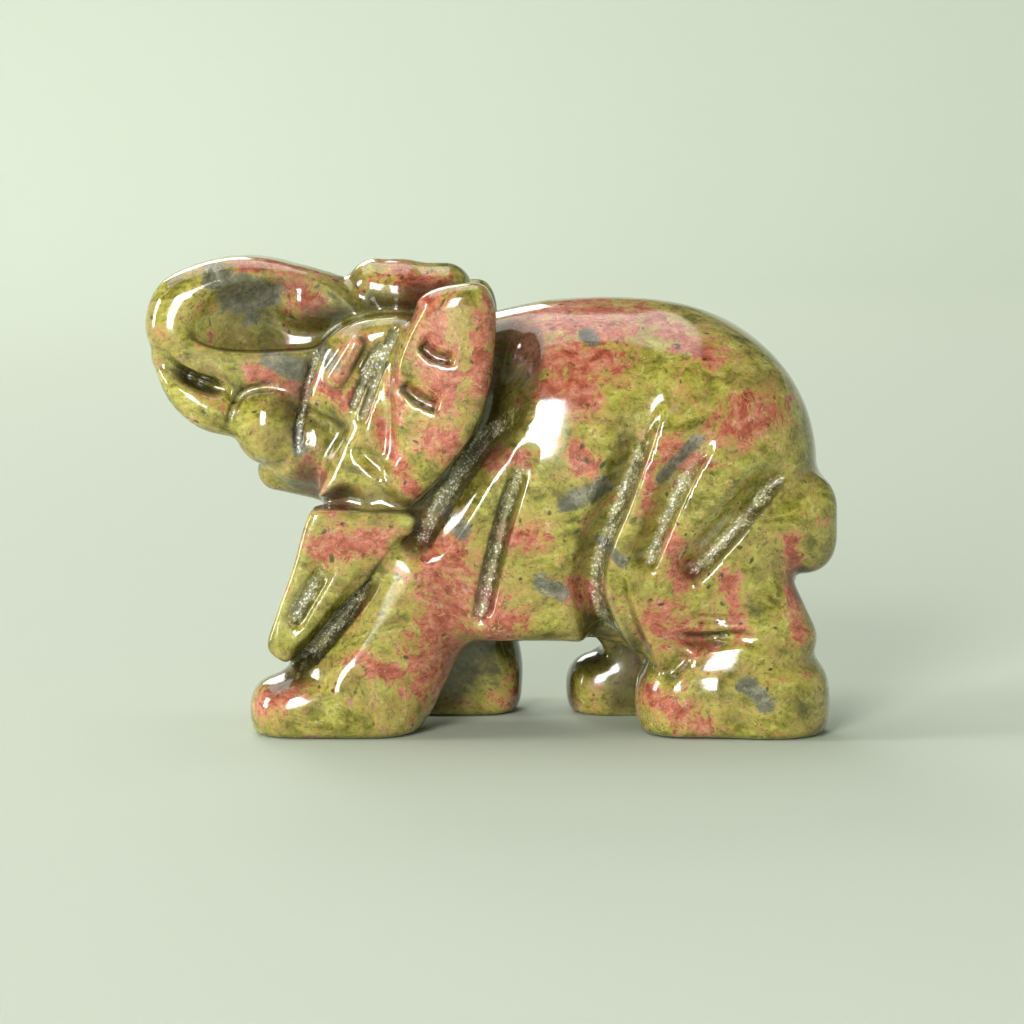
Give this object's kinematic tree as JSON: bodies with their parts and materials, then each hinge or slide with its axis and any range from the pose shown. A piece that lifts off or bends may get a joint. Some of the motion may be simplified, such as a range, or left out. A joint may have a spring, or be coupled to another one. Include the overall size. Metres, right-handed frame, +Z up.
{
  "type": "carved stone elephant figurine",
  "caption": "Small carved and polished stone elephant, walking, with its trunk curled up and back over its forehead.",
  "frame": {"origin": "on the ground, under the middle of the figure", "axes": "+Z up, the elephant faces -X and its left side faces -Y"},
  "size_m": [0.0498, 0.0206, 0.0341],
  "materials": {
    "unakite": "polished"
  },
  "bodies": {
    "root": {"elephant": "unakite"}
  },
  "joints": []
}
